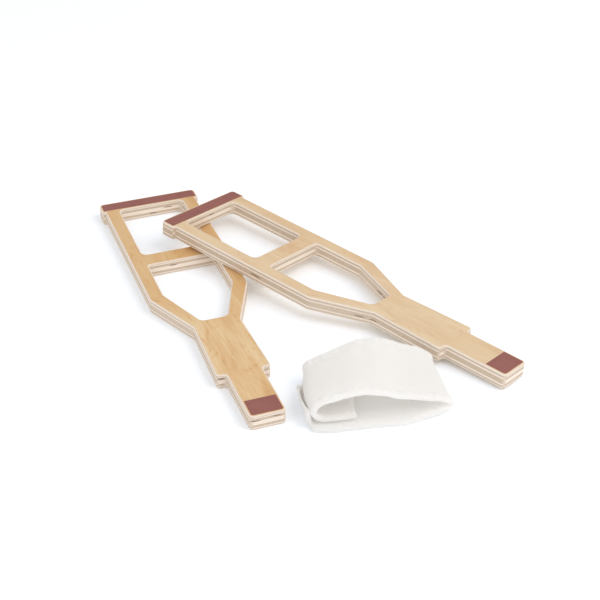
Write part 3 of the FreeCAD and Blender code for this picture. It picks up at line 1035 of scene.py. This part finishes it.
def make_tab(cotton, thread):
    """The closing tab: the band's hemmed outer end, a little off the loop, bending at its seam."""
    depths = depths_across(TAB_WIDTH)
    sheet = tab_sheet(depths)
    along = length_along(sheet)
    rounding = end_rounding(along, TAB_END_ROUNDING)
    thickness = rounding[:, None] * half_thickness(depths, TAB_WIDTH, TAB_HALF)[None, :]
    cloth = Cloth()
    outer, _inner = cloth.add_strip(sheet, along, depths, thickness)
    for column in seam_columns(depths, TAB_WIDTH):
        cloth.add_stitches(outer, along, column, 1, first=12, pitch=10)
    tab = cloth.build("bandage_cloth_tab", [cotton, thread])
    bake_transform(tab)
    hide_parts("bandage_tab")


def make_patch(name, node, body, sheet, side, material):
    """A strip of fastener tape: a thin backing with rows of fine hooks or loops on one face."""
    along = length_along(sheet)
    normal = normals_of(sheet)
    backing = np.full(sheet.shape[:2], TAPE_HALF) * end_rounding(along, TAPE_END_ROUNDING)[:, None]
    backing[:, [0, -1]] = 0.0
    cloth = Cloth()
    cloth.add_strip(sheet, along, sheet[0, :, 1], backing)
    depthwise = np.array([0.0, 1.0, 0.0])
    for row in range(1, len(sheet) - 2, 2):
        for column in range(1, sheet.shape[1] - 1):
            foot = sheet[row, column]
            up = normal[row, column] * side
            ahead = (sheet[row + 1, column] - foot) * TAPE_LOOP_STEP
            bow = np.stack([foot + up * rise + ahead * reach for rise, reach in TAPE_LOOP_SHAPE])
            cloth.add_thread(bow, np.broadcast_to(depthwise, bow.shape), TAPE_LOOP_RADIUS)
    patch = cloth.build(name, [material, material])
    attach(patch, body)
    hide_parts(node)


def patch_depths():
    """Places across the fastener tape, from the band's front edge."""
    return np.linspace(PATCH_START, PATCH_START + PATCH_WIDTH, PATCH_COLUMNS)


def make_loop_tape():
    """Loop tape on the outside of the band's left fold."""
    _along, band = band_sheet(patch_depths())
    middle = band[:, PATCH_COLUMNS // 2]
    u, z = middle[:, 0], middle[:, 2]
    beside_tab = (u < LOOP_TAPE_REACH) & (z > LOOP_TAPE_BOTTOM) & (z < LOOP_TAPE_TOP)
    rows = np.where(beside_tab)[0]
    layer = band + normals_of(band) * LOOP_TAPE_RISE
    sheet = layer[rows[0] : rows[-1] + 1]
    material = cloth_material("loop_fabric", LOOP_TAPE, COTTON_PAINTED_SHADE, LOOP_TAPE_WEAVE)
    make_patch("bandage_loop_tape", "loop_patch", "bandage", sheet, 1, material)


def make_hook_tape():
    """Hook tape on the inside of the closing tab, facing the loop tape."""
    tab = tab_sheet(patch_depths() - TAB_START)
    sheet = (tab - normals_of(tab) * HOOK_TAPE_DROP)[HOOK_TAPE_ROWS]
    material = cloth_material("hook_fabric", HOOK_TAPE, COTTON_PAINTED_SHADE, HOOK_TAPE_WEAVE)
    make_patch("bandage_hook_tape", "hook_patch", "bandage_tab", sheet, -1, material)


def make_bandage():
    """The bandage's four soft pieces, which take the place of its four CAD solids."""
    cotton = cloth_material("cotton", COTTON, COTTON_PAINTED_SHADE, COTTON_WEAVE)
    thread = thread_material()
    make_band(cotton, thread)
    make_tab(cotton, thread)
    make_loop_tape()
    make_hook_tape()


def floor_material():
    """Pale matt paper with the faintest clouding."""
    shader = Shader("studio_floor")
    place = shader.node("ShaderNodeTexCoord").outputs["Object"]
    cloud = shader.noise(place, FLOOR_CLOUD_WAVES, 2.0)
    colour = shader.mix(shader.remap(cloud, *FLOOR_CLOUD_RANGE), FLOOR_BRIGHT, FLOOR_DULL)
    return shader.finish(
        colour,
        FLOOR_ROUGHNESS,
        Specular_IOR_Level=0.1,
        Emission_Color=FLOOR_GLOW,
        Emission_Strength=FLOOR_GLOW_STRENGTH,
    )


def make_floor():
    """A plain pale floor, just under the set."""
    bpy.ops.mesh.primitive_plane_add(size=FLOOR_SIZE, location=(0, 0, 0))
    floor = bpy.context.object
    floor.name = "studio_floor"
    floor.data.materials.append(floor_material())


def view_direction(azimuth, elevation):
    """Unit vector from the target towards the camera. Azimuth 0 looks along +Y."""
    turn, rise = math.radians(azimuth), math.radians(elevation)
    return Vector((math.sin(turn) * math.cos(rise), -math.cos(turn) * math.cos(rise), math.sin(rise)))


def make_camera():
    """The camera, aimed at the middle of the set."""
    data = bpy.data.cameras.new("camera")
    data.lens = CAMERA_LENS
    data.clip_end = CAMERA_REACH
    camera = bpy.data.objects.new("camera", data)
    bpy.context.scene.collection.objects.link(camera)
    back = view_direction(CAMERA_AZIMUTH, CAMERA_ELEVATION)
    camera.location = CAMERA_TARGET + back * CAMERA_DISTANCE
    camera.rotation_mode = "QUATERNION"
    camera.rotation_quaternion = (-back).to_track_quat("-Z", "Y")
    bpy.context.scene.camera = camera


def make_light(name, azimuth, elevation, distance, size, power, colour):
    """A large soft area light aimed at the set."""
    data = bpy.data.lights.new(name, "AREA")
    data.shape = "DISK"
    data.size = size
    data.energy = power
    data.color = colour
    light = bpy.data.objects.new(name, data)
    bpy.context.scene.collection.objects.link(light)
    back = view_direction(azimuth, elevation)
    light.location = CAMERA_TARGET + back * distance
    light.rotation_mode = "QUATERNION"
    light.rotation_quaternion = (-back).to_track_quat("-Z", "Y")


def make_lighting():
    """Bright even studio light: a soft key from the front right, a fill and a pale sky."""
    world = bpy.data.worlds.new("studio")
    world.use_nodes = True
    sky = world.node_tree.nodes["Background"]
    sky.inputs["Color"].default_value = SKY_COLOUR
    sky.inputs["Strength"].default_value = SKY_STRENGTH
    bpy.context.scene.world = world
    for settings in LIGHTS:
        make_light(*settings)
    bpy.context.scene.view_settings.view_transform = "Standard"


make_floor()
for crutch_look in CRUTCH_LOOKS:
    dress_crutch(*crutch_look)
make_bandage()
make_camera()
make_lighting()
